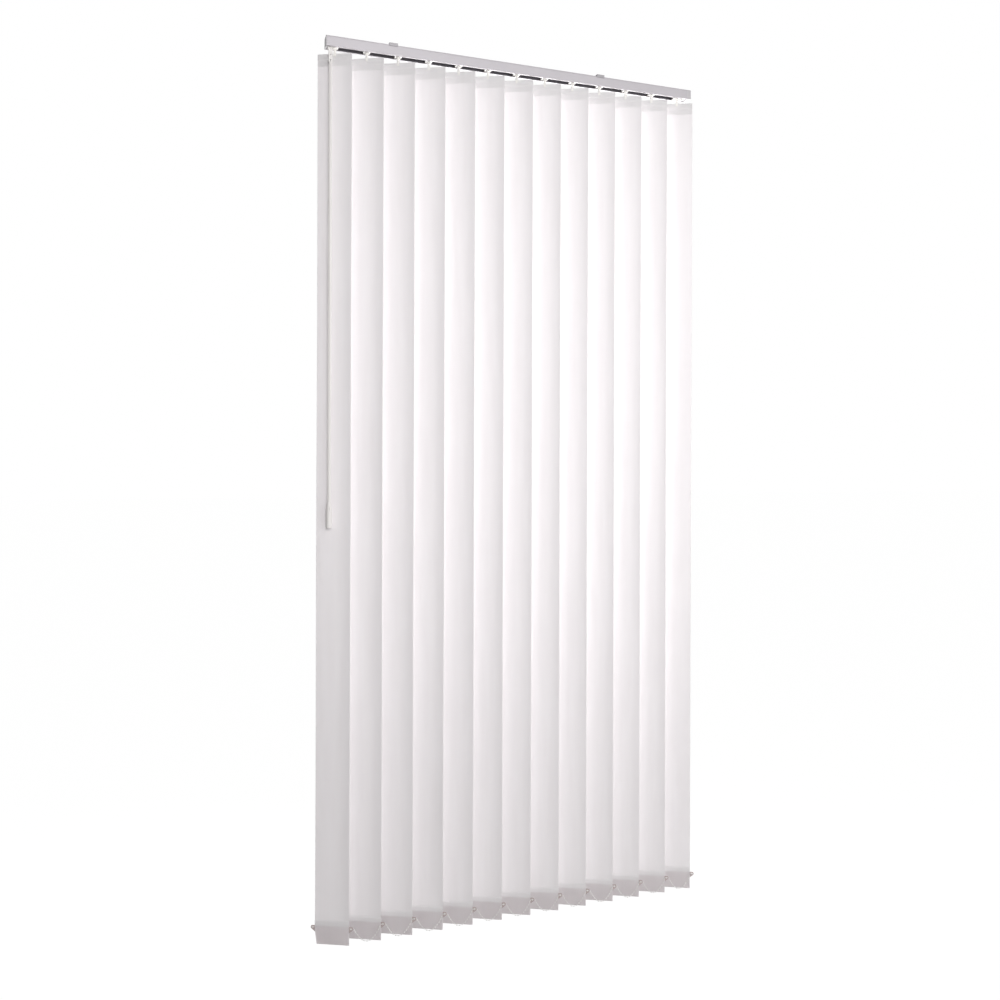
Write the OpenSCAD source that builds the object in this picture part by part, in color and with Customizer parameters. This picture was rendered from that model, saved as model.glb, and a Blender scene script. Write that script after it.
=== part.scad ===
// Vertical blind with thirteen fabric slats, a channel headrail, a tilt wand and two bead chains.
// Millimetres, Z up. The origin is on the ceiling, midway between the two bracket screw holes.
// The room side is at negative Y. The slats stack at the right end, positive X.

/* [Slats] */
// Width of one slat
slat_w = 89; // [85:0.5:92]
// Distance between the slats' turning axes
pitch = 80; // [78:0.5:82]
// Length of a slat from its top fold to its bottom fold
slat_len = 2242; // [1600:2:2600]
// Thickness of the slat fabric
fabric_t = 0.5; // [0.4:0.05:0.6]
// Turn of the slats from the rail's line, as photographed
slat_turn = 28; // [26:0.5:34]
// Height of the top hem
top_hem = 31; // [28:1:40]
// Height of the bottom hem
bottom_hem = 60; // [56:1:70]

/* [Headrail] */
// Depth of the rail from front to back
rail_d = 33; // [33:0.5:36]
// Height of the rail
rail_h = 26; // [26:0.5:28]
// Width of the slot along the underside
slot_w = 22; // [21.6:0.1:22.4]
// Side wall of the rail
rail_wall = 1.6; // [1.5:0.05:1.7]
// Gap between the ceiling and the top of the rail
rail_drop = 4.5; // [4:0.1:6]
// Rail past the first slat's axis
left_over = 20.5; // [20:0.5:26]
// Rail past the last slat's axis
right_over = 24.5; // [24:0.5:30]
// Gap between the rail and the top of the slats
slat_gap = 12.5; // [12:0.1:14]

/* [Brackets] */
// Distance between the two screw holes
bracket_gap = 572; // [480:2:640]
// First bracket's distance from the first slat's axis
bracket_in = 145; // [110:1:200]
// Width of a bracket clip along the rail
bracket_w = 22; // [18:1:30]
// Radius of a screw hole
screw_r = 2.25; // [2:0.05:2.6]

/* [Carriers] */
// Length of a carrier along the rail
carrier_l = 17; // [15:0.5:18]
// Radius of the tilt rod over its ribs
rod_r = 2.6; // [2.4:0.05:2.7]
// Radius of a hook's spindle
spindle_r = 2.3; // [2.1:0.05:2.4]
// Clearance between moving pieces
gap = 0.3; // [0.25:0.05:0.35]

/* [Weights and chain] */
// Height of the weight in the bottom hem
weight_h = 46; // [40:1:48]
// How far a weight's ear stands out past the fabric
ear = 10.5; // [10.5:0.1:11]
// Radius of a chain bead
bead_r = 1.5; // [1.2:0.05:1.55]
// Radius of the thread between the beads
thread_r = 0.5; // [0.4:0.05:0.55]
// Sag of the chain between two slats
sag = 37; // [33:0.5:38]
// Beads in one loop of chain
beads = 13; // [8:1:13]

/* [Wand] */
// Distance of the wand from the first slat's axis
wand_in = 11.5; // [11.5:0.1:12]
// Length from the eye to the end of the handle
wand_len = 1200; // [700:5:1300]
// Radius of the six-sided rod over its corners
wand_r = 4.6; // [4:0.1:4.8]
// Radius of the handle
handle_r = 7.2; // [6.2:0.1:7.2]
// Length of the handle
handle_l = 65; // [50:1:90]

/* [Hidden] */
$fn = 48;
e = 0.01;
n = 13;
span = (n - 1) * pitch;
x_first = -bracket_gap / 2 - bracket_in;
x_last = x_first + span;
rail_x0 = x_first - left_over;
rail_x1 = x_last + right_over;
rail_top = -rail_drop;
rail_bot = rail_top - rail_h;
roof = rail_top - 1.5;
ledge = rail_bot + 1.6;
inner = rail_d / 2 - rail_wall;
cap_l = 3;
cap_r = 12;
// The left plug stops short of the lead carrier
plug_l = left_over - wand_in - 6;
plug_r = 8;
groove_t = rail_top - 2.4;
groove_h = 1.4;
groove_d = 0.8;
// Carrier heights, measured up from the rail's ledges
car_bot = ledge + 0.7;
car_top = rail_top - 7;
car_w = slot_w + 1;
wheel_r = 4;
// Side play between a wheel and the rail's wall
wheel_gap = 1;
wheel_w = rail_d / 2 - rail_wall - wheel_gap - car_w / 2;
rod_z = car_top - 5;
neck_bot = rail_bot - 3;
neck_r1 = 4.2;
neck_r2 = 6.1;
// Distance between two axes in the stack
stack = 20;
collar_top = rod_z - rod_r - gap - 2.6;
collar_h = 3.6;
collar_r = 4;
// Slat heights
slat_top = rail_bot - slat_gap;
slat_bot = slat_top - slat_len;
card_t = 1.5;
card_h = 12;
hem_y = card_t / 2 + fabric_t;
weight_t = 2;
foot_y = weight_t / 2 + fabric_t;
pin_z = slat_top - 5;
pin_r = 1.5;
fork_in = hem_y + gap;
fork_t = 1.2;
fork_w = 6.2;
stem_r = 3;
// Ears and chain
weight_top = slat_bot + fabric_t + weight_h;
// Height of the sloped corner at the foot of a slat and its weight
corner_h = 36;
ear_in = slat_w / 2 + 5.5;
ear_z = weight_top - 4;
chain_run = 3.4;
loop_w = pitch - 2 * chain_run;
bead_lead = 7.5;
// Wand
wand_x = x_first - wand_in;
wand_y = -5.5;
eye_z = rail_bot - 5.5;
eye_r = 4.5;
eye_t = 2.4;
link_l = 33;
knuckle_l = 27;
link_w = 9.6;
link_end = 5.4;
strip_t = 0.5;
strip_step = 0.9;
strips = 5;

function two(i) = i < 10 ? str("0", i) : str(i);
function slat_x(i) = x_first + (i - 1) * pitch;
// Height of a chain loop at the share t of its width, and its length up to there
function loop_z(t) = -4 * sag * t * (1 - t);
function loop_to(k, m) = k == 0 ? 0 : loop_to(k - 1, m) + norm([loop_w / m, loop_z(k / m) - loop_z((k - 1) / m)]);
loop_steps = 64;
loop_table = [for (k = [0:loop_steps]) [loop_to(k, loop_steps), k / loop_steps]];
loop_len = loop_table[loop_steps][0];
function bead_at(j) = lookup(bead_lead + (loop_len - 2 * bead_lead) * j / (beads - 1), loop_table);
// Rings of one loop, from ear to ear, seen from the front: place along the rail, height, slope and radius
function loop_slope(t) = atan(-4 * sag * (1 - 2 * t) / loop_w);
function bead_ring(t, s) = [
    chain_run + loop_w * t + s * bead_r * cos(loop_slope(t)),
    loop_z(t) + s * bead_r * sin(loop_slope(t)),
    loop_slope(t),
    s == 0 ? bead_r : thread_r
];
loop_rings = concat(
    [[chain_run, 0, loop_slope(0) / 2, thread_r]],
    [for (j = [0:beads - 1], s = [-1, 0, 1]) bead_ring(bead_at(j), s)],
    [[pitch - chain_run, 0, loop_slope(1) / 2, thread_r]]
);
chain_rings = concat(
    [[0, 0, 0, thread_r]],
    [for (i = [0:n - 2], r = concat(loop_rings, [[pitch, 0, 0, thread_r]])) [r[0] + i * pitch, r[1], r[2], r[3]]]
);
chain_sides = 5;

// A flat oblong with four round corners, centred
module oblong(w, h, r) {
    square([w - 2 * r, h], center = true);
    square([w, h - 2 * r], center = true);
    for (x = [-1, 1], y = [-1, 1]) translate([x * (w / 2 - r), y * (h / 2 - r)]) circle(r);
}

// Stands a flat outline, drawn as depth and height, along the rail
module along(x0, x1) {
    translate([x0, 0, 0]) rotate([90, 0, 90]) linear_extrude(x1 - x0) children();
}

// A box given by its two corners
module block(a, b) {
    translate(a) cube(b - a);
}

// Places a piece at a slat's axis, turned with it
module at_slat(i) {
    translate([slat_x(i), 0, 0]) rotate([0, 0, -slat_turn]) children();
}

module headrail() {
    color("silver") along(rail_x0, rail_x1) difference() {
        translate([0, (rail_top + rail_bot) / 2]) oblong(rail_d, rail_h, 1.5);
        translate([0, (roof + ledge) / 2]) square([2 * inner, roof - ledge], center = true);
        translate([0, rail_bot]) square([slot_w, 8], center = true);
        for (s = [-1, 1]) {
            translate([s * rail_d / 2, groove_t - groove_h / 2]) square([2 * groove_d, groove_h], center = true);
        }
    }
}

// One end cap: a cover over the rail's end and a plug with a socket for the rod
module end_cap(x0, x1, p0, p1) {
    difference() {
        union() {
            along(x0, x1) translate([0, (rail_top + rail_bot) / 2]) oblong(rail_d, rail_h, 1.5);
            block([p0, -inner, ledge], [p1, inner, roof]);
        }
        along(p0, p1) translate([0, rod_z]) circle(rod_r + gap);
    }
}

module end_caps() {
    color("gainsboro") {
        end_cap(rail_x0 - cap_l, rail_x0, rail_x0 - e, rail_x0 + plug_l);
        end_cap(rail_x1, rail_x1 + cap_r, rail_x1 - plug_r, rail_x1 + e);
    }
}

// A spring clip over the rail: a plate under the ceiling and two legs whose lips sit in the rail's grooves
module brackets() {
    leg_t = 1.5;
    lip = 1.2;
    out = rail_d / 2 + leg_t;
    color("darkgray") for (s = [-1, 1]) translate([s * bracket_gap / 2, 0, 0]) {
        difference() {
            block([-bracket_w / 2, -out, -1.5], [bracket_w / 2, out, 0]);
            translate([0, 0, -3]) cylinder(r = screw_r, h = 6);
        }
        for (m = [-1, 1]) {
            y0 = m * (rail_d / 2 + leg_t / 2);
            translate([-bracket_w / 2, y0 - leg_t / 2, groove_t - lip]) cube([bracket_w, leg_t, -groove_t + lip]);
            y1 = m * (rail_d / 2 - groove_d / 2);
            translate([-bracket_w / 2, y1 - groove_d / 2, groove_t - lip]) cube([bracket_w, groove_d, lip]);
        }
    }
}

module tilt_rod() {
    color("lightgray") along(rail_x0 + 1, rail_x1 - 1) translate([0, rod_z]) {
        circle(rod_r - 0.5);
        for (a = [0:120:240]) rotate(a) translate([0, -0.6]) square([rod_r - 0.1, 1.2]);
    }
}

// A carrier: a housing on four wheels, a neck through the slot, and the spacer strip to its left
module carrier(i) {
    x = slat_x(i);
    lead = i == 1;
    parked = i == n;
    l0 = lead ? wand_in + 5.5 : carrier_l / 2;
    k = i % strips;
    strip_z = car_top + 0.7 + k * strip_step;
    color("whitesmoke") translate([x, 0, 0]) difference() {
        union() {
            block([-l0, -car_w / 2, car_bot], [carrier_l / 2, car_w / 2, car_top]);
            for (s = [-1, 1], wx = [-l0 + wheel_r + 0.3, carrier_l / 2 - wheel_r - 0.3]) {
                translate([wx, s * (car_w / 2 - e), ledge + gap + wheel_r])
                    rotate([-s * 90, 0, 0]) cylinder(r = wheel_r, h = wheel_w);
            }
            translate([0, 0, neck_bot]) cylinder(r1 = neck_r1, r2 = neck_r2, h = car_bot - neck_bot + 1);
            if (lead) {
                block([-l0, -slot_w / 2 + gap, rail_bot + 0.4], [carrier_l / 2 - 4, slot_w / 2 - gap, car_bot + e]);
                translate([-wand_in, wand_y, rail_bot - 0.1]) cylinder(r = 3.2, h = 4);
            }
            if (parked) {
                // Past its housing the skirt passes under the next carrier's housing and ends at its neck
                block([neck_r2 + 0.7 - stack, -slot_w / 2 + gap, rail_bot + 0.4], [0, slot_w / 2 - gap, car_bot - 0.4]);
                block([-carrier_l / 2, -slot_w / 2 + gap, rail_bot + 0.4], [right_over - 9, slot_w / 2 - gap, car_bot + e]);
                for (q = [-12:4:12]) if (abs(q) > 7) {
                    block([q - 1, -slot_w / 2 + gap, rail_bot - 1.6], [q + 1, slot_w / 2 - gap, rail_bot + 1]);
                }
            }
            if (i > 1) {
                block([-3, 3.2, car_top - e], [3, 5.4, strip_z + strip_t]);
                block([-pitch, -2.5, strip_z], [3, 2.5, strip_z + strip_t]);
                block([-3, 2.4, strip_z], [3, 5.4, strip_z + strip_t]);
            }
        }
        // Way for the rod, then the spindle's bore and the room for its collar
        along(-l0 - 1, carrier_l / 2 + 1) translate([0, rod_z]) circle(rod_r + gap);
        translate([0, 0, neck_bot - 1]) cylinder(r = spindle_r + gap, h = collar_top - neck_bot);
        translate([0, 0, collar_top - collar_h - gap]) cylinder(r = collar_r + gap, h = collar_h + 2 * gap);
        if (lead) {
            translate([-wand_in, wand_y, rail_bot - 1]) cylinder(r = 1.7 + gap, h = collar_top - rail_bot);
            translate([-wand_in, wand_y, collar_top - collar_h - gap]) cylinder(r = 2.8 + gap, h = collar_h + 2 * gap);
        }
    }
}

// A hook: a collar held in the carrier, a spindle, and a fork whose pin carries the slat
module hook(i) {
    color("white") at_slat(i) {
        translate([0, 0, collar_top - collar_h]) cylinder(r = collar_r, h = collar_h);
        translate([0, 0, neck_bot - gap - 2]) cylinder(r = spindle_r, h = collar_top - neck_bot + gap);
        translate([0, 0, slat_top + gap]) cylinder(r1 = stem_r + 0.4, r2 = stem_r, h = neck_bot - gap - slat_top - gap);
        for (s = [-1, 1]) {
            translate([-fork_w / 2, s * (fork_in + fork_t / 2) - fork_t / 2, pin_z - 2.6])
                cube([fork_w, fork_t, slat_top - pin_z + 3.2]);
        }
        translate([0, -fork_in - fork_t / 2, pin_z]) rotate([-90, 0, 0]) cylinder(r = pin_r, h = 2 * fork_in + fork_t);
    }
}

// A slat: one sheet folded into a hem at each end
module slat(i) {
    h = slat_w / 2;
    color("snow") at_slat(i) difference() {
        union() {
            block([-h, -fabric_t / 2, slat_bot + bottom_hem], [h, fabric_t / 2, slat_top - top_hem]);
            difference() {
                block([-h, -hem_y, slat_top - top_hem - fabric_t], [h, hem_y, slat_top]);
                block([-h - 1, -card_t / 2, slat_top - top_hem], [h + 1, card_t / 2, slat_top - fabric_t]);
            }
            difference() {
                block([-h, -foot_y, slat_bot], [h, foot_y, slat_bot + bottom_hem + fabric_t]);
                block([-h - 1, -weight_t / 2, slat_bot + fabric_t], [h + 1, weight_t / 2, slat_bot + bottom_hem]);
            }
        }
        translate([0, -5, pin_z]) rotate([-90, 0, 0]) cylinder(r = pin_r + 0.4, h = 10);
        translate([0, 5, 0]) rotate([90, 0, 0]) linear_extrude(10)
            polygon([[-h - 1, slat_bot + corner_h], [-h, slat_bot + corner_h], [-h + 5, slat_bot - 1], [-h - 1, slat_bot - 1]]);
    }
}

// The card in the top hem and the weight in the bottom hem
module inserts(i) {
    h = slat_w / 2;
    b = slat_bot + fabric_t;
    t = weight_top;
    o = ear;
    color("lightgray") at_slat(i) {
        difference() {
            block([-h + 0.5, -card_t / 2, slat_top - fabric_t - card_h], [h - 0.5, card_t / 2, slat_top - fabric_t]);
            translate([0, -5, pin_z]) rotate([-90, 0, 0]) cylinder(r = pin_r, h = 10);
        }
        difference() {
            translate([0, weight_t / 2, 0]) rotate([90, 0, 0]) linear_extrude(weight_t) polygon([
                [-h - o + 3, t], [h + o - 3, t], [h + o - 0.9, t - 0.9], [h + o, t - 3], [h + o, t - 6],
                [h + o - 1.8, t - 8.6], [h, t - 15], [h - 1.5, t - 15], [h - 1.5, b], [-h + 7, b],
                [-h + 1.5, b + corner_h], [-h + 1.5, t - 15], [-h, t - 15], [-h - o + 1.8, t - 8.6],
                [-h - o, t - 6], [-h - o, t - 3], [-h - o + 0.9, t - 0.9]
            ]);
            for (s = [-1, 1]) translate([s * ear_in, 0, ear_z]) cube([6.4, 10, 2.4], center = true);
        }
    }
}

// One bead chain, hung in equal loops from ear to ear, on the front (1) or the rear (-1)
module chain(side) {
    m = chain_sides;
    last = len(chain_rings) - 1;
    pts = [for (r = chain_rings, k = [0:m - 1]) let (a = 360 * k / m)
        [r[0] - r[3] * cos(a) * sin(r[2]), r[3] * sin(a), r[1] + r[3] * cos(a) * cos(r[2])]];
    tube = [for (j = [0:last - 1], k = [0:m - 1]) let (q = (k + 1) % m)
        [j * m + k, j * m + q, (j + 1) * m + q, (j + 1) * m + k]];
    ends = [[for (k = [m - 1:-1:0]) k], [for (k = [0:m - 1]) last * m + k]];
    translate([slat_x(1) + side * ear_in * cos(slat_turn), -side * ear_in * sin(slat_turn), ear_z])
        polyhedron(pts, concat(tube, ends));
}

module chain_front() {
    color("white") chain(1);
}

module chain_rear() {
    color("white") chain(-1);
}

// The drive stub of the lead carrier, with the eye that the wand hangs in
module wand_stub() {
    shaft_bot = eye_z + link_w / 2 + 0.4;
    color("white") translate([wand_x, wand_y, 0]) difference() {
        union() {
            translate([0, 0, collar_top - collar_h]) cylinder(r = 2.8, h = collar_h);
            translate([0, 0, shaft_bot]) cylinder(r = 1.7, h = collar_top - 1 - shaft_bot);
            translate([0, 0, eye_z + eye_r - 1]) cylinder(r = eye_t / 2, h = 3);
            translate([0, eye_t / 2, eye_z]) rotate([90, 0, 0]) cylinder(r = eye_r, h = eye_t);
        }
        translate([0, 5, eye_z]) rotate([90, 0, 0]) cylinder(r = 2.3, h = 10);
    }
}

// The wand: a forked link with a pin in the eye, a six-sided rod and a handle
module wand() {
    cheek = 1.3;
    y1 = eye_t / 2 + gap;
    fork_z = eye_z - eye_r - 0.8;
    rod_top = eye_z - link_l;
    grip_top = eye_z - wand_len + handle_l;
    grip_bot = eye_z - wand_len;
    knuckle = eye_z - knuckle_l;
    color("white") translate([wand_x, wand_y, 0]) {
        difference() {
            union() {
                for (s = [-1, 1]) {
                    translate([0, s * (y1 + cheek / 2) + cheek / 2, 0]) rotate([90, 0, 0]) linear_extrude(cheek) {
                        translate([0, eye_z]) circle(link_w / 2);
                        translate([-link_w / 2, fork_z - 2]) square([link_w, eye_z - fork_z + 2]);
                    }
                }
                translate([0, y1 + cheek, eye_z]) rotate([90, 0, 0]) cylinder(r = 2, h = 2 * (y1 + cheek));
                block([-link_w / 2, -y1 - cheek, knuckle], [link_w / 2, y1 + cheek, fork_z]);
                translate([0, y1 + cheek, knuckle]) rotate([90, 0, 0]) cylinder(r = link_end, h = 2 * (y1 + cheek));
            }
            translate([0, 10, eye_z]) rotate([90, 0, 0]) cylinder(r = 1.5, h = 20);
            translate([0, 10, eye_z - 13.5]) rotate([90, 0, 0]) cylinder(r = 1.2, h = 20);
            translate([0, 10, knuckle]) rotate([90, 0, 0]) cylinder(r = 1.7, h = 20);
        }
        translate([0, 0, grip_top - 12]) rotate([0, 0, 30])
            cylinder(r = wand_r, h = rod_top + 2.5 - grip_top + 12, $fn = 6);
        difference() {
            rotate_extrude() polygon([
                [0, grip_bot], [handle_r - 1, grip_bot], [handle_r, grip_bot + 1], [handle_r, grip_top - 20],
                [handle_r - 0.5, grip_top - 13], [wand_r + 0.3, grip_top], [0, grip_top]
            ]);
            translate([-0.8, -handle_r - 1, grip_top - 21]) cube([1.6, 3, 8]);
        }
    }
}

headrail();
end_caps();
brackets();
tilt_rod();
wand_stub();
wand();
chain_front();
chain_rear();
for (i = [1:n]) {
    carrier(i);
    hook(i);
    slat(i);
    inserts(i);
}
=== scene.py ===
"""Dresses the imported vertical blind: fabric slats, bead chains, finishes, studio and camera.

All lengths are in metres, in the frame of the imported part: the origin is on the ceiling midway
between the bracket screws, the room is at negative Y and the slats stack at positive X.
"""

from __future__ import annotations

import logging
import math
from dataclasses import dataclass
from enum import Enum

import bpy
import numpy as np
from mathutils import Matrix

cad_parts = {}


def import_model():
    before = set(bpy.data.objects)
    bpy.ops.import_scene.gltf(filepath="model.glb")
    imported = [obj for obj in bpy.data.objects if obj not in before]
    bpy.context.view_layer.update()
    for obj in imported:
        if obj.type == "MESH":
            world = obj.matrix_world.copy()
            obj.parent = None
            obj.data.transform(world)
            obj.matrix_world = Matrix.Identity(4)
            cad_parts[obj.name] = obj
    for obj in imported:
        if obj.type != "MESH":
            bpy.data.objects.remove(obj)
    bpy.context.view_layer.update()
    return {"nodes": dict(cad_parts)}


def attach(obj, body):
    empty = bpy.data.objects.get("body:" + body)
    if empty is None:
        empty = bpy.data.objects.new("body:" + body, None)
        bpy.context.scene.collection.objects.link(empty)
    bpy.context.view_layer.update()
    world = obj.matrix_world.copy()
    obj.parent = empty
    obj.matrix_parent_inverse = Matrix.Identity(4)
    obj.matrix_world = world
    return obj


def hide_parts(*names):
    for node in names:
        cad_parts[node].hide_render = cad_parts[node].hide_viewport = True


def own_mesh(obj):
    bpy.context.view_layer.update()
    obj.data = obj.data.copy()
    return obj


LOG = logging.getLogger("vertical_blind")
MM = 0.001
SLATS = 13
WHITE = (1.0, 1.0, 1.0, 1.0)
# A Mix node's sockets for colours: the two that it mixes, and its result.
MIX_A, MIX_B, MIX_RESULT = 6, 7, 2
# A Wave node's bands lie this far apart at a scale of 1.
WAVE_PITCH = 0.314

Place = tuple[float, float, float]


class Side(Enum):
    """The side of the slats that a bead chain hangs on."""

    FRONT = 1
    REAR = -1


class Grain(Enum):
    """How a surface was made, which sets the direction of its fine relief."""

    MOULDED = (1.0, 1.0, 1.0)
    EXTRUDED = (0.01, 1.0, 1.0)


def linear(code: str) -> tuple[float, float, float, float]:
    """Turns an sRGB hex colour into linear light.

    The curve is a straight foot for the darkest tones and a power of 2.4 above it.

    Args:
        code: Six hex digits, with or without a leading hash.

    Returns:
        The red, green and blue in linear light, and an alpha of 1.
    """
    raw = np.array([int(code.lstrip("#")[k : k + 2], 16) for k in (0, 2, 4)]) / 255.0
    rgb = np.where(raw <= 0.04045, raw / 12.92, ((raw + 0.055) / 1.055) ** 2.4)
    return (float(rgb[0]), float(rgb[1]), float(rgb[2]), 1.0)


def add(
    tree: bpy.types.NodeTree, kind: str, links: dict | None = None, **settings: object
) -> bpy.types.Node:
    """Adds one shader node with its settings, socket values and links.

    Args:
        tree: The node tree that gets the node.
        kind: The node's type name.
        links: Socket name or number to a value, or to the output socket that feeds it.
        settings: The node's own properties.

    Returns:
        The new node.
    """
    made = tree.nodes.new(kind)
    for key, value in settings.items():
        setattr(made, key, value)
    for key, value in (links or {}).items():
        if isinstance(value, bpy.types.NodeSocket):
            tree.links.new(value, made.inputs[key])
        else:
            made.inputs[key].default_value = value
    return made


def blank(name: str) -> tuple[bpy.types.Material, bpy.types.NodeTree, bpy.types.Node]:
    """Makes an empty node material.

    Args:
        name: The material's name.

    Returns:
        The material, its tree and its output node.
    """
    material = bpy.data.materials.new(name)
    material.use_nodes = True
    tree = material.node_tree
    tree.nodes.clear()
    return material, tree, add(tree, "ShaderNodeOutputMaterial")


def smooth(share: np.ndarray) -> np.ndarray:
    """Eases shares from 0 to 1, level at both ends: three squares less two cubes."""
    return share * share * (3.0 - 2.0 * share)


def lengths(line: np.ndarray) -> np.ndarray:
    """Gives a line's length up to each of its points: the running sum of its steps."""
    return np.concatenate([[0.0], np.cumsum(np.linalg.norm(np.diff(line, axis=0), axis=1))])


def surface(
    name: str,
    points: np.ndarray,
    uv: np.ndarray | None = None,
    wrap: bool = False,
    keep: np.ndarray | None = None,
) -> bpy.types.Object:
    """Makes a smooth mesh object from a grid of points.

    Each cell of the grid is one four-sided face. A wrapped grid closes round its columns and gets
    a cap at each end.

    Args:
        name: The object's name.
        points: Rows by columns by three.
        uv: Rows by columns by two, or nothing.
        wrap: Whether the last column joins the first.
        keep: Which cells become faces, or nothing for all of them.

    Returns:
        The object, linked into the scene and standing at the origin.
    """
    rows, cols = points.shape[:2]
    index = np.arange(rows * cols).reshape(rows, cols)
    if wrap:
        turned = np.roll(index, -1, axis=1)
        corners = [index[:-1], turned[:-1], turned[1:], index[1:]]
    else:
        corners = [index[:-1, :-1], index[:-1, 1:], index[1:, 1:], index[1:, :-1]]
    cells = np.stack(corners, axis=-1)
    if keep is not None:
        cells = cells[keep]
    faces = cells.reshape(-1, 4).tolist()
    if wrap:
        faces += [index[0, ::-1].tolist(), index[-1].tolist()]
    mesh = bpy.data.meshes.new(name)
    mesh.from_pydata(points.reshape(-1, 3), [], faces)
    mesh.polygons.foreach_set("use_smooth", np.ones(len(mesh.polygons), dtype=bool))
    if uv is not None:
        corner = np.zeros(len(mesh.loops), dtype=np.int32)
        mesh.loops.foreach_get("vertex_index", corner)
        layer = mesh.uv_layers.new(name="cloth")
        layer.data.foreach_set("uv", uv.reshape(-1, 2)[corner].astype(np.float32).ravel())
    mesh.update()
    made = bpy.data.objects.new(name, mesh)
    bpy.context.scene.collection.objects.link(made)
    return made


@dataclass(frozen=True)
class SolidFinish:
    """An opaque finish with fine relief and slight changes of tone."""

    name: str
    colour: str
    shade: str
    roughness: float
    metallic: float = 0.0
    grain: Grain = Grain.MOULDED
    grain_mm: float = 1.5
    bump_mm: float = 0.02
    through: float = 0.0
    rough_spread: float = 0.06
    drift_mm: float = 1000.0 / 9.0

    def material(self) -> bpy.types.Material:
        """Builds the material.

        A broad noise drifts the tone between colour and shade, and a fine one, stretched along the
        way the piece was made, gives roughness and relief.

        Returns:
            The material.
        """
        material, tree, output = blank(self.name)
        place = add(tree, "ShaderNodeTexCoord").outputs["Object"]
        along = add(tree, "ShaderNodeMapping", {"Vector": place, "Scale": self.grain.value})
        tone = self.tone(tree, place)
        scale = 1.0 / (self.grain_mm * MM)
        fine = add(
            tree,
            "ShaderNodeTexNoise",
            {"Vector": along.outputs[0], "Scale": scale, "Detail": 2.0},
        ).outputs["Fac"]
        rough = add(
            tree,
            "ShaderNodeMapRange",
            {
                "Value": fine,
                "To Min": self.roughness - self.rough_spread,
                "To Max": self.roughness + self.rough_spread,
            },
        )
        bump = add(
            tree,
            "ShaderNodeBump",
            {"Height": fine, "Strength": 0.5, "Distance": self.bump_mm * MM},
        )
        body = add(
            tree,
            "ShaderNodeBsdfPrincipled",
            {
                "Base Color": tone,
                "Roughness": rough.outputs[0],
                "Metallic": self.metallic,
                "Normal": bump.outputs[0],
            },
        )
        shader = body.outputs[0]
        if self.through > 0.0:
            lit = add(tree, "ShaderNodeBsdfTranslucent", {"Color": tone})
            shader = add(
                tree, "ShaderNodeMixShader", {0: self.through, 1: shader, 2: lit.outputs[0]}
            ).outputs[0]
        tree.links.new(shader, output.inputs["Surface"])
        return material

    def tone(
        self, tree: bpy.types.NodeTree, place: bpy.types.NodeSocket
    ) -> bpy.types.NodeSocket:
        """Drifts slowly between the colour and the shade.

        Args:
            tree: The tree that gets the nodes.
            place: The socket with the object's own coordinates.

        Returns:
            The socket with the colour.
        """
        scale = 1.0 / (self.drift_mm * MM)
        broad = add(tree, "ShaderNodeTexNoise", {"Vector": place, "Scale": scale, "Detail": 3.0})
        return add(
            tree,
            "ShaderNodeMix",
            {0: broad.outputs["Fac"], MIX_A: linear(self.colour), MIX_B: linear(self.shade)},
            data_type="RGBA",
        ).outputs[MIX_RESULT]


@dataclass(frozen=True)
class RailFinish(SolidFinish):
    """The rail's finish: bright outside, with painted shade, a flat darker grey, on the faces
    inside the channel.
    """

    # Painted shade: this darker grey on the channel's inside faces stands in for the shadow in the
    # slot.
    channel_shade: str = "#7A767C"
    inner_half: float = 0.01495
    inner_low: float = -0.0296
    inner_high: float = -0.0056

    def tone(
        self, tree: bpy.types.NodeTree, place: bpy.types.NodeSocket
    ) -> bpy.types.NodeSocket:
        """Paints shade on the faces that lie inside the channel's section: a darker grey where the
        slot lies in shadow.

        Args:
            tree: The tree that gets the nodes.
            place: The socket with the object's own coordinates.

        Returns:
            The socket with the colour.
        """
        part = add(tree, "ShaderNodeSeparateXYZ", {0: place}).outputs
        aside = add(tree, "ShaderNodeMath", {0: part["Y"]}, operation="ABSOLUTE").outputs[0]
        middle = (self.inner_high + self.inner_low) / 2
        reach = (self.inner_high - self.inner_low) / 2
        near = add(
            tree, "ShaderNodeMath", {0: aside, 1: self.inner_half}, operation="LESS_THAN"
        ).outputs[0]
        level = add(
            tree, "ShaderNodeMath", {0: part["Z"], 1: middle, 2: reach}, operation="COMPARE"
        ).outputs[0]
        inside = add(tree, "ShaderNodeMath", {0: near, 1: level}, operation="MULTIPLY")
        return add(
            tree,
            "ShaderNodeMix",
            {0: inside.outputs[0], MIX_A: super().tone(tree, place), MIX_B: linear(self.channel_shade)},
            data_type="RGBA",
        ).outputs[MIX_RESULT]


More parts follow.
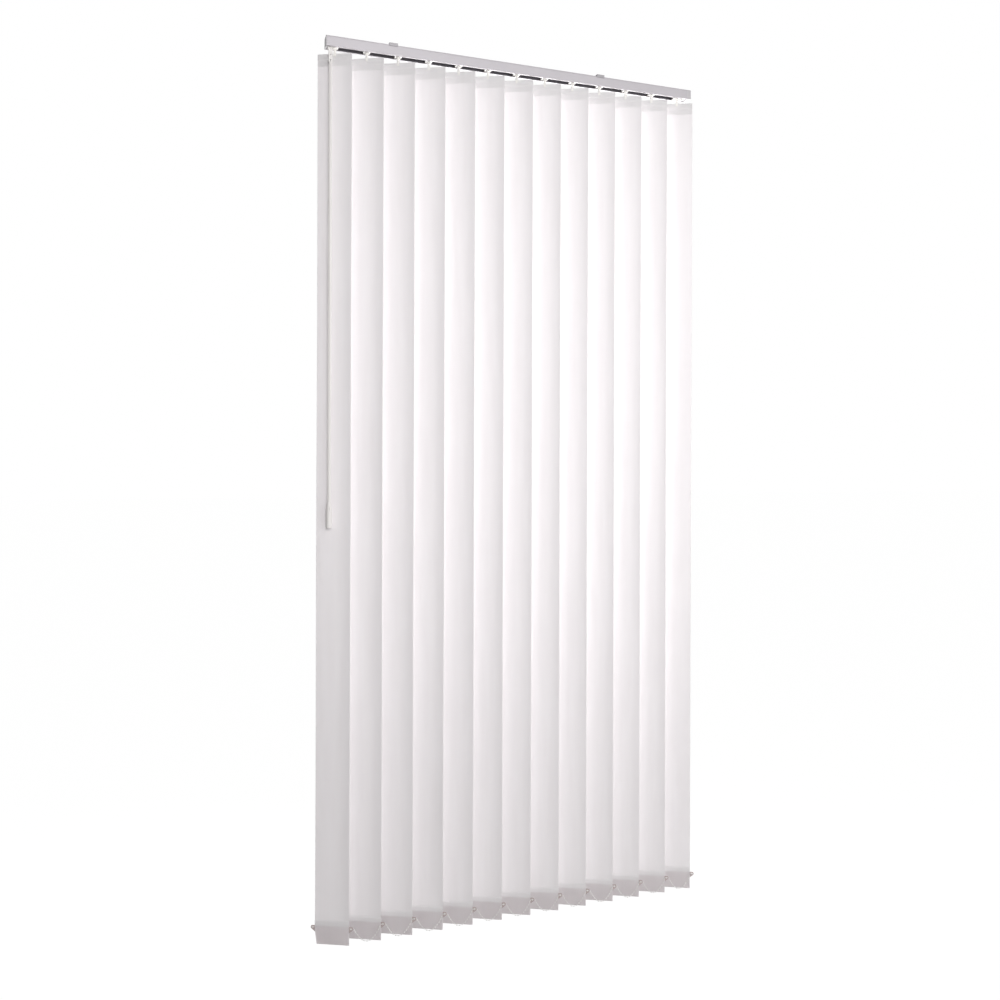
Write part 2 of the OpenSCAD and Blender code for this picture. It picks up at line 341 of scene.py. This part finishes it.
@dataclass(frozen=True)
class InsertFinish:
    """The hem inserts: a milky card at the top, lit through, and a dull grey weight at the foot."""

    name: str = "pvc_card_and_moulded_pvc_weight"
    card: str = "#F4F3F2"
    weight: str = "#BFB1B0"
    roughness: float = 0.5
    split_z: float = -1.0
    through: float = 0.5

    def material(self) -> bpy.types.Material:
        """Builds the material, which takes its colour from the height on the slat.

        Returns:
            The material.
        """
        material, tree, output = blank(self.name)
        place = add(tree, "ShaderNodeTexCoord").outputs["Object"]
        height = add(tree, "ShaderNodeSeparateXYZ", {0: place}).outputs["Z"]
        high = add(
            tree, "ShaderNodeMath", {0: height, 1: self.split_z}, operation="GREATER_THAN"
        ).outputs[0]
        tone = add(
            tree,
            "ShaderNodeMix",
            {0: high, MIX_A: linear(self.weight), MIX_B: linear(self.card)},
            data_type="RGBA",
        ).outputs[MIX_RESULT]
        share = add(tree, "ShaderNodeMath", {0: high, 1: self.through}, operation="MULTIPLY")
        body = add(
            tree, "ShaderNodeBsdfPrincipled", {"Base Color": tone, "Roughness": self.roughness}
        )
        lit = add(tree, "ShaderNodeBsdfTranslucent", {"Color": tone})
        mixed = add(
            tree,
            "ShaderNodeMixShader",
            {0: share.outputs[0], 1: body.outputs[0], 2: lit.outputs[0]},
        )
        tree.links.new(mixed.outputs[0], output.inputs["Surface"])
        return material


@dataclass(frozen=True)
class SlatCloth:
    """Stiffened polyester cloth: matt, and lit through by the light behind it."""

    name: str = "stiffened_polyester_cloth"
    colour: str = "#F5F3F4"
    shade: str = "#F0EDEE"
    thread_mm: float = 1.2
    slub_mm: float = 14.0
    slub_stretch: Place = (1.0, 0.06, 1.0)
    bump_mm: float = 0.06
    through: float = 0.25
    hem_through: float = 0.20
    pocket_through: float = 0.57
    top_weld: float = -0.074
    low_weld: float = -2.225
    weight_top: float = -2.2385
    weld_soft: float = 0.0005

    def material(self) -> bpy.types.Material:
        """Builds the material.

        Two crossed waves are the warp and weft, drawn at 1.2 mm because the real 0.4 mm threads
        are too fine to show, and a noise stretched along the slat gives the slubs.

        Returns:
            The material.
        """
        material, tree, output = blank(self.name)
        place = add(tree, "ShaderNodeUVMap", uv_map="cloth").outputs[0]
        beat = WAVE_PITCH / (self.thread_mm * MM)
        warp, weft = (
            add(
                tree,
                "ShaderNodeTexWave",
                {"Vector": place, "Scale": beat, "Distortion": 0.6},
                bands_direction=way,
            ).outputs["Fac"]
            for way in "XY"
        )
        weave = add(tree, "ShaderNodeMath", {0: warp, 1: weft}, operation="MULTIPLY")
        drawn = add(tree, "ShaderNodeMapping", {"Vector": place, "Scale": self.slub_stretch})
        scale = 1.0 / (self.slub_mm * MM)
        slub = add(
            tree,
            "ShaderNodeTexNoise",
            {"Vector": drawn.outputs[0], "Scale": scale, "Detail": 3.0},
        )
        tone = add(
            tree,
            "ShaderNodeMix",
            {0: slub.outputs["Fac"], MIX_A: linear(self.colour), MIX_B: linear(self.shade)},
            data_type="RGBA",
        ).outputs[MIX_RESULT]
        bump = add(
            tree,
            "ShaderNodeBump",
            {"Height": weave.outputs[0], "Strength": 0.35, "Distance": self.bump_mm * MM},
        ).outputs[0]
        body = add(
            tree,
            "ShaderNodeBsdfPrincipled",
            {
                "Base Color": tone,
                "Roughness": 0.85,
                "Specular IOR Level": 0.25,
                "Sheen Weight": 0.1,
                "Normal": bump,
            },
        )
        lit = add(tree, "ShaderNodeBsdfTranslucent", {"Color": tone, "Normal": bump})
        mixed = add(
            tree,
            "ShaderNodeMixShader",
            {0: self.sheer(tree), 1: body.outputs[0], 2: lit.outputs[0]},
        )
        tree.links.new(mixed.outputs[0], output.inputs["Surface"])
        return material

    def sheer(self, tree: bpy.types.NodeTree) -> bpy.types.NodeSocket:
        """Gives the share of light that comes through, from the height on the slat.

        The doubled hems are denser than the single cloth, and the pocket is stretched thin over
        its weight, so that the grey of the weight shows.

        Args:
            tree: The tree that gets the nodes.

        Returns:
            The socket with the share.
        """
        place = add(tree, "ShaderNodeTexCoord").outputs["Object"]
        height = add(tree, "ShaderNodeSeparateXYZ", {0: place}).outputs["Z"]
        soft = self.weld_soft
        over, under, clear = (
            add(
                tree,
                "ShaderNodeMapRange",
                {"Value": height, "From Min": level - rise, "From Max": level + rise},
            ).outputs[0]
            for level, rise in (
                (self.top_weld, soft),
                (self.low_weld, -soft),
                (self.weight_top, soft),
            )
        )
        doubled = add(tree, "ShaderNodeMath", {0: over, 1: under}, operation="MAXIMUM")
        hem = add(
            tree,
            "ShaderNodeMapRange",
            {"Value": doubled.outputs[0], "To Min": self.through, "To Max": self.hem_through},
        )
        return add(
            tree,
            "ShaderNodeMapRange",
            {"Value": clear, "To Min": self.pocket_through, "To Max": hem.outputs[0]},
        ).outputs[0]


@dataclass
class SlatSet:
    """The thirteen slats: a strip of cloth each, folded into a hem round its card and weight."""

    first_x: float = -0.431
    pitch: float = 0.080
    width: float = 0.089
    top: float = -0.043
    bottom: float = -2.285
    turn_deg: float = -28.0
    top_hem: float = 0.031
    bottom_hem: float = 0.060
    card_half: float = 0.00100
    card_low: float = 0.0128
    weight_half: float = 0.00125
    cloth: float = 0.00045
    taper: float = 0.005
    taper_h: float = 0.036
    pin_drop: float = 0.005
    pin_half: float = 0.0019
    # The fold: how far the layers lie apart, and the heights over which they part.
    weld_gap: float = 0.00046
    part_half: float = 0.00030
    part_slack: float = 0.00006
    weld_ease: float = 0.0035
    card_ease: float = 0.003
    weld_clear: float = 0.004
    pocket_clear: float = 0.006
    foot_clear: float = 0.004
    # The grid: its points along each piece of the fold, and across.
    turn_rows: int = 9
    ease_rows: int = 7
    free_rows: int = 60
    pocket_rows: int = 9
    side_columns: int = 8
    edge: float = 0.0004
    inset: float = 0.004
    # How the cloth drifts from flat between its hems.
    free_fade: float = 0.25
    wave_depth: float = 0.0007
    wave_turn: float = 5.2
    wave_step: float = 2.1
    cup_depth: float = 0.0006
    cup_level: float = 0.4
    weave_step: float = 0.11

    def fold(self) -> np.ndarray:
        """Works out the strip's line from hem end to hem end, as depth and height.

        The line rises behind the card, turns over it in a half circle, drops in front to the weld,
        runs down the middle, parts round the weight, turns under it in a half circle and ends
        behind it.

        Returns:
            Points by two.
        """
        c, w = self.card_half, self.weight_half
        turn = np.linspace(0.0, np.pi, self.turn_rows)
        step = np.linspace(0.0, 1.0, self.ease_rows)
        ease, back = smooth(step), 1.0 - step
        weld_t, weld_b = self.top - self.top_hem, self.bottom + self.bottom_hem
        pin = self.top - self.pin_drop
        shut = self.top - self.card_low
        rise = np.array([shut, pin - self.pin_half, pin + self.pin_half])
        draw = shut - self.card_ease * back
        close, lap = self.weld_gap, self.part_half
        behind = close + lap - self.part_slack
        over = self.top - c - self.cloth / 2
        under = self.bottom + w + self.cloth / 2
        free = np.linspace(weld_t - self.weld_clear, weld_b + self.weld_clear, self.free_rows)
        pocket = np.linspace(
            weld_b - self.pocket_clear, self.bottom + self.foot_clear, self.pocket_rows
        )
        parts = [
            np.stack([close + (behind - close) * ease, weld_t + self.weld_ease * step], 1),
            np.stack([behind + (c - behind) * ease, draw], 1),
            np.stack([np.full_like(rise, c), rise], 1),
            np.stack([c * np.cos(turn), over + c * np.sin(turn)], 1),
            np.stack([np.full_like(rise, -c), rise[::-1]], 1),
            np.stack([-c + (c - lap) * ease, draw[::-1]], 1),
            np.stack([-lap * (1.0 - ease), weld_t + self.weld_ease * back], 1),
            np.stack([np.zeros_like(free), free], 1),
            np.stack([-w * ease, weld_b - self.weld_ease * step], 1),
            np.stack([np.full_like(pocket, -w), pocket], 1),
            np.stack([-w * np.cos(turn), under - w * np.sin(turn)], 1),
            np.stack([np.full_like(pocket, w), pocket[::-1]], 1),
            np.stack([w - (w - close) * ease, weld_b - self.weld_ease * back], 1),
        ]
        return np.concatenate(parts)

    def columns(self) -> np.ndarray:
        """Works out the grid's places across the strip, closer at the edges and at the pin.

        They are even steps from the edge to the pin on one side, and the same mirrored.

        Returns:
            The places, from left to right.
        """
        half, pin = self.width / 2, self.pin_half
        side = np.linspace(-half + self.inset, -pin * 2, self.side_columns)
        left = np.concatenate([[-half, -half + self.edge], side, [-pin]])
        return np.concatenate([left, -left[::-1]])

    def build(self, number: int) -> bpy.types.Object:
        """Builds one slat as a sheet with the thickness of its cloth.

        Across the strip the cloth cups by a fraction of a millimetre between the hems, forwards and
        back by turns, and drifts in a long slow sine wave that differs from slat to slat. The lower
        left corner is cut at a slant, and the cells at the hook's pin are left open.

        Args:
            number: The slat's number, from 1 at the wand.

        Returns:
            The slat's object.
        """
        line = self.fold()
        across = self.columns()
        share = across[None, :] / (self.width / 2)
        depth, height = line[:, :1], line[:, 1:]
        below = np.clip((self.top - self.top_hem - height) / self.free_fade, 0, 1)
        above = np.clip((height - self.bottom - self.bottom_hem) / self.free_fade, 0, 1)
        free = smooth(below * above)
        wave = self.wave_depth * np.sin(height * self.wave_turn + number * self.wave_step) * share
        cup = self.cup_depth * (share**2 - self.cup_level) * (1.0 if number % 2 else -1.0)
        y = depth + free * (wave + cup)
        slant = np.clip((self.bottom + self.taper_h - height) / self.taper_h, 0, 1)
        x = across[None, :] + self.taper * slant * np.clip(0.5 - share / 2, 0, 1)
        z = np.broadcast_to(height, x.shape)
        a = math.radians(self.turn_deg)
        centre = self.first_x + (number - 1) * self.pitch
        points = np.stack(
            [centre + x * math.cos(a) - y * math.sin(a), x * math.sin(a) + y * math.cos(a), z], -1
        )
        u = np.broadcast_to(across[None, :] + self.weave_step * number, x.shape)
        v = np.broadcast_to(lengths(line)[:, None], x.shape)
        mid_z = (height[:-1] + height[1:]) / 2
        mid_x = (across[None, :-1] + across[None, 1:]) / 2
        level = np.abs(mid_z - self.top + self.pin_drop) < self.pin_half
        hole = level & (np.abs(mid_x) < self.pin_half)
        name = f"cloth_slat_{number:02d}"
        made = surface(name, points, np.stack([u, v], -1), keep=~hole)
        shell = made.modifiers.new("cloth", "SOLIDIFY")
        shell.thickness = self.cloth
        shell.offset = 0.0
        return made

    def dress(self, material: bpy.types.Material) -> None:
        """Builds all the slats and sets each on its body.

        Args:
            material: The cloth.
        """
        for number in range(1, SLATS + 1):
            made = self.build(number)
            made.data.materials.append(material)
            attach(made, f"vane_{number:02d}")
            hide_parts(f"slat_{number:02d}")


@dataclass
class BeadChain:
    """A bead chain that hangs in equal loops from ear to ear along the slats, and its clips."""

    side: Side
    slats: SlatSet
    ear_out: float = 0.050
    ear_z: float = -2.2425
    # The loops: their level runs and sag, and how far they swerve outside the slots.
    run: float = 0.006
    run_rings: int = 6
    sag: float = 0.037
    aside: float = 0.0022
    slot_half: float = 0.003
    path_points: int = 400
    # The beads and the thread: a bead is stretched along the loop.
    beads: int = 13
    bead_r: float = 0.0015
    bead_rings: int = 9
    thread_r: float = 0.0005
    lead: float = 0.006
    tail: float = 0.002
    stretch: float = 1.45
    # The clips: the neck, and a head from its tip inwards as shares of its length and radius.
    clip_r: float = 0.00115
    clip_half: float = 0.0034
    head_r: float = 0.0022
    neck_half: float = 0.0011
    head_reach: tuple[float, ...] = (1.0, 0.9, 0.55, 0.2, 0.0)
    head_width: tuple[float, ...] = (0.45, 0.8, 1.0, 0.8)
    sides: int = 8

    def start(self) -> tuple[float, float]:
        """Works out the place of the first ear.

        It is the ear's reach from the slat's axis, turned with the slat.

        Returns:
            The place along the rail and across it.
        """
        a = math.radians(self.slats.turn_deg)
        reach = self.side.value * self.ear_out
        return self.slats.first_x + reach * math.cos(a), reach * math.sin(a)

    def circle(self) -> np.ndarray:
        """Gives the angles round a ring, in equal steps."""
        return np.linspace(0.0, 2.0 * np.pi, self.sides, endpoint=False)

    def line(self) -> tuple[np.ndarray, np.ndarray]:
        """Works out the chain's rings: the place along, across and down, and the radius at each.

        A loop is a parabola between two ears, with a short level run at each end where it leaves
        the slot. Across, it follows a cosine from one ear to the next that fades to nothing in the
        slots, so that it keeps clear of both ears at every tilt. Beads lie at equal steps along
        the loop, and a bead's radius follows an ellipse.

        Returns:
            Rings by three, and the radius of each ring.
        """
        pitch = self.slats.pitch
        t = np.linspace(0.0, 1.0, self.path_points)
        span = pitch - 2.0 * self.run
        path = np.stack([self.run + span * t, -4.0 * self.sag * t * (1.0 - t)], 1)
        arc = lengths(path)
        whole = arc[-1]
        middle = np.linspace(self.lead, whole - self.lead, self.beads)
        lean = np.linspace(-1.0, 1.0, self.bead_rings) * math.pi / 2
        offset = np.sin(lean) * math.sqrt(self.bead_r**2 - self.thread_r**2)
        bead = np.sqrt(np.maximum(self.bead_r**2 - offset**2, 0.0))
        bead = np.tile(np.maximum(bead, self.thread_r), self.beads)
        along = (middle[:, None] + self.stretch * offset[None, :]).ravel()
        ends = np.array([0.0, self.tail])
        along = np.concatenate([ends, along, whole - ends[::-1]])
        level = np.linspace(0.0, self.run, self.run_rings, endpoint=False)
        s = np.concatenate([level, np.interp(along, arc, path[:, 0]), pitch - level[:0:-1]])
        z = np.concatenate([0.0 * level, np.interp(along, arc, path[:, 1]), 0.0 * level[1:]])
        size = np.full(len(s), self.thread_r)
        first = len(level) + len(ends)
        size[first : first + len(bead)] = bead
        fade = smooth(np.clip(np.minimum(s, pitch - s) / self.slot_half, 0.0, 1.0))
        loop = np.stack([s, self.aside * np.cos(np.pi * s / pitch) * fade, z], 1)
        count = SLATS - 1
        step = np.arange(count)[:, None, None] * np.array([pitch, 0.0, 0.0])
        rings = np.concatenate([(loop[None] + step).reshape(-1, 3), [[count * pitch, 0.0, 0.0]]])
        total = count * (whole + 2.0 * self.run)
        LOG.info("bead chain: loop of %.4f m, %.3f m in all", whole, total)
        return rings, np.append(np.tile(size, count), self.thread_r)

    def clips(self, material: bpy.types.Material) -> None:
        """Puts a round clip through the slot of each ear.

        A clip is a neck of round rings in the slot, square to the slat, with a rounded head on
        each side, and it turns with the slat.

        Args:
            material: The clips' plastic.
        """
        turn = math.radians(self.slats.turn_deg)
        a = self.circle()
        out = self.neck_half + (self.clip_half - self.neck_half) * np.array(self.head_reach)
        thick = np.append(np.array(self.head_width) * self.head_r, self.clip_r)
        out = np.concatenate([-out, out[::-1]])[:, None]
        thick = np.concatenate([thick, thick[::-1]])[:, None]
        x0, y0 = self.start()
        x = x0 - out * math.sin(turn) + thick * np.cos(a) * math.cos(turn)
        y = y0 + out * math.cos(turn) + thick * np.cos(a) * math.sin(turn)
        z = self.ear_z + thick * np.sin(a)
        word = self.side.name.lower()
        for number in range(1, SLATS + 1):
            points = np.stack([x + (number - 1) * self.slats.pitch, y, z], -1)
            made = surface(f"chain_clip_{word}_{number:02d}", points, wrap=True)
            made.data.materials.append(material)
            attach(made, f"vane_{number:02d}")
            LOG.info("chain clip %d on the %s", number, word)

    def dress(self, material: bpy.types.Material) -> None:
        """Sweeps the chain, sets it on its body and adds its clips.

        A ring's circle stands square to the loop, as seen from the front.

        Args:
            material: The beads' plastic.
        """
        rings, radius = self.line()
        way = np.gradient(rings[:, ::2], axis=0)
        way /= np.linalg.norm(way, axis=1, keepdims=True)
        a = self.circle()
        x0, y0 = self.start()
        x = x0 + rings[:, :1] - radius[:, None] * np.cos(a) * way[:, 1:]
        z = self.ear_z + rings[:, 2:] + radius[:, None] * np.cos(a) * way[:, :1]
        y = y0 + rings[:, 1:2] + radius[:, None] * np.sin(a)
        word = self.side.name.lower()
        made = surface(f"bead_chain_{word}", np.stack([x, y, z], -1), wrap=True)
        made.data.materials.append(material)
        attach(made, f"{word}_chain")
        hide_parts(f"chain_{word}")
        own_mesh(made)
        self.clips(material)
        LOG.info("bead chain on the %s", word)


@dataclass
class Hardware:
    """The pieces that keep their own solids: rail, caps, clips, carriers, hooks, inserts, wand."""

    nodes: dict[str, bpy.types.Object]

    def paint(self, start: str, material: bpy.types.Material) -> None:
        """Gives every node whose name starts so one material.

        Args:
            start: The start of the nodes' names.
            material: Their material.
        """
        for name, piece in self.nodes.items():
            if name.startswith(start):
                piece.data.materials.clear()
                piece.data.materials.append(material)
        LOG.info("%s: %s", start, material.name)

    def dress(self) -> None:
        """Gives each kind of piece its finish."""
        # Satin anodised aluminium: an even silver grey with a soft sheen and fine die lines, and
        # painted shade inside the channel.
        rail = RailFinish(
            "satin_anodised_aluminium",
            "#C0BCC0",
            "#B9B5B9",
            roughness=0.5,
            metallic=0.3,
            grain=Grain.EXTRUDED,
            grain_mm=0.5,
            bump_mm=0.01,
        )
        # Moulded ABS: an even grey, a little duller than the rail.
        cap = SolidFinish("moulded_grey_abs", "#C6C3C6", "#BFBCBF", roughness=0.45)
        # Zinc-plated spring steel: a darker, cooler grey with a small bright highlight.
        clip = SolidFinish(
            "zinc_plated_spring_steel",
            "#AAA7AA",
            "#9C999C",
            roughness=0.4,
            metallic=0.5,
            grain_mm=0.8,
            bump_mm=0.01,
        )
        # Drawn aluminium: bright bare metal with fine lines along it.
        rod = SolidFinish(
            "drawn_aluminium",
            "#B5B5B8",
            "#A4A4A8",
            roughness=0.35,
            metallic=1.0,
            grain=Grain.EXTRUDED,
            grain_mm=0.4,
            bump_mm=0.01,
        )
        # Natural acetal: a milky, slightly waxy white with a soft highlight.
        clear = SolidFinish("natural_acetal", "#FAF8F5", "#F5F2EE", roughness=0.35)
        # Moulded white ABS: a plain white with a broad soft highlight.
        white = SolidFinish("moulded_white_abs", "#ECE9E7", "#E6E2E0", roughness=0.45)
        self.paint("headrail", rail.material())
        self.paint("end_caps", cap.material())
        self.paint("brackets", clip.material())
        self.paint("tilt_rod", rod.material())
        acetal = clear.material()
        self.paint("carrier_", acetal)
        self.paint("hook_", acetal)
        self.paint("inserts_", InsertFinish().material())
        self.paint("wand", white.material())


@dataclass(frozen=True)
class PanelLamp:
    """A soft panel lamp that faces the blind and that the camera doesn't see."""

    name: str
    place: Place
    size: tuple[float, float]
    watts: float
    aim: Place = (0.1, 0.0, -0.8)

    def hang(self) -> None:
        """Makes the lamp, turned about the upright and then raised to face its aim."""
        data = bpy.data.lights.new(self.name, "AREA")
        data.shape = "RECTANGLE"
        data.size, data.size_y = self.size
        data.energy = self.watts
        made = bpy.data.objects.new(self.name, data)
        way = np.array(self.aim) - np.array(self.place)
        turn = math.atan2(-way[0], way[1])
        rise = math.atan2(way[2], math.hypot(way[0], way[1]))
        made.matrix_world = (
            Matrix.Translation(self.place)
            @ Matrix.Rotation(turn, 4, "Z")
            @ Matrix.Rotation(math.pi / 2 + rise, 4, "X")
        )
        made.visible_camera = False
        bpy.context.scene.collection.objects.link(made)


@dataclass
class Studio:
    """A pale floor, a white surround, soft light from behind and two softer ones in front."""

    surround: float = 0.22
    floor_z: float = -2.60
    floor_reach: float = 40.0
    floor_tone: str = "#DCDBDA"
    floor_glow: float = 0.94
    floor_white: float = 1.05
    lamps: tuple[PanelLamp, ...] = (
        PanelLamp("behind", (0.75, 1.6, -0.75), (1.6, 1.2), 56.0),
        PanelLamp("left", (-0.45, -2.8, -0.1), (1.0, 1.4), 32.0),
        PanelLamp("right", (0.8, -2.3, -0.75), (3.0, 2.0), 34.0),
    )

    def world(self) -> None:
        """Makes the surround white to the camera and a plain soft grey to the object."""
        world = bpy.data.worlds.new("studio")
        bpy.context.scene.world = world
        world.use_nodes = True
        tree = world.node_tree
        tree.nodes.clear()
        output = add(tree, "ShaderNodeOutputWorld")
        strength = self.seen(tree, self.surround)
        shine = add(tree, "ShaderNodeBackground", {"Color": WHITE, "Strength": strength})
        tree.links.new(shine.outputs[0], output.inputs["Surface"])

    @staticmethod
    def seen(tree: bpy.types.NodeTree, other: float) -> bpy.types.NodeSocket:
        """Gives 1 to rays from the camera, a mirror or glass, and another number to the rest.

        Args:
            tree: The tree that gets the nodes.
            other: The number for the other rays.

        Returns:
            The socket with the number.
        """
        path = add(tree, "ShaderNodeLightPath")
        first = add(
            tree,
            "ShaderNodeMath",
            {0: path.outputs["Is Camera Ray"], 1: path.outputs["Is Glossy Ray"]},
            operation="MAXIMUM",
        )
        both = add(
            tree,
            "ShaderNodeMath",
            {0: first.outputs[0], 1: path.outputs["Is Transmission Ray"]},
            operation="MAXIMUM",
        )
        return add(
            tree,
            "ShaderNodeMapRange",
            {"Value": both.outputs[0], "To Min": other, "To Max": 1.0},
        ).outputs[0]

    def floor(self) -> None:
        """Lays the floor, which looks white and keeps a trace of the object's shadow."""
        material, tree, output = blank("pale_floor")
        matt = add(tree, "ShaderNodeBsdfDiffuse", {"Color": linear(self.floor_tone)})
        glow = add(tree, "ShaderNodeEmission", {"Color": WHITE, "Strength": self.floor_white})
        share = add(
            tree,
            "ShaderNodeMath",
            {0: self.seen(tree, 0.0), 1: self.floor_glow},
            operation="MULTIPLY",
        )
        mixed = add(
            tree,
            "ShaderNodeMixShader",
            {0: share.outputs[0], 1: matt.outputs[0], 2: glow.outputs[0]},
        )
        tree.links.new(mixed.outputs[0], output.inputs["Surface"])
        reach = np.array([-self.floor_reach, self.floor_reach])
        x, y = np.meshgrid(reach, reach)
        made = surface("floor", np.stack([x, y, np.full_like(x, self.floor_z)], -1))
        made.data.materials.append(material)

    def build(self) -> None:
        """Sets up the surround, the floor and the lamps."""
        bpy.context.scene.view_settings.view_transform = "Standard"
        self.world()
        self.floor()
        for lamp in self.lamps:
            lamp.hang()
        LOG.info("studio ready")


@dataclass
class PhotoCamera:
    """The camera at the photograph's place: level, left of the blind, at about mid height."""

    place: Place = (-0.770, -2.567, -1.065)
    heading_deg: float = -21.10
    roll_deg: float = 0.19
    lens_mm: float = 36.0
    sensor_mm: float = 36.0
    shift: tuple[float, float] = (-0.075, -0.0393)
    reach: tuple[float, float] = (0.05, 100.0)

    def build(self) -> None:
        """Makes the camera and hands it to the scene."""
        data = bpy.data.cameras.new("photo")
        data.lens = self.lens_mm
        data.sensor_width = self.sensor_mm
        data.shift_x, data.shift_y = self.shift
        data.clip_start, data.clip_end = self.reach
        made = bpy.data.objects.new("photo", data)
        made.matrix_world = (
            Matrix.Translation(self.place)
            @ Matrix.Rotation(math.radians(self.heading_deg), 4, "Z")
            @ Matrix.Rotation(math.pi / 2, 4, "X")
            @ Matrix.Rotation(math.radians(self.roll_deg), 4, "Z")
        )
        bpy.context.scene.collection.objects.link(made)
        bpy.context.scene.camera = made


def main() -> None:
    """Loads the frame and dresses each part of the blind."""
    logging.basicConfig(level=logging.INFO, format="%(name)s: %(message)s")
    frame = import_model()
    PhotoCamera().build()
    Studio().build()
    Hardware(frame["nodes"]).dress()
    slats = SlatSet()
    slats.dress(SlatCloth().material())
    # Polyester beads moulded on their thread: a glossy white that lets a little light through.
    bead = SolidFinish("moulded_white_polyester", "#FBFAF9", "#F6F5F3", 0.3, through=0.2)
    beads = bead.material()
    for side in Side:
        BeadChain(side, slats).dress(beads)


if __name__ == "__main__":
    main()
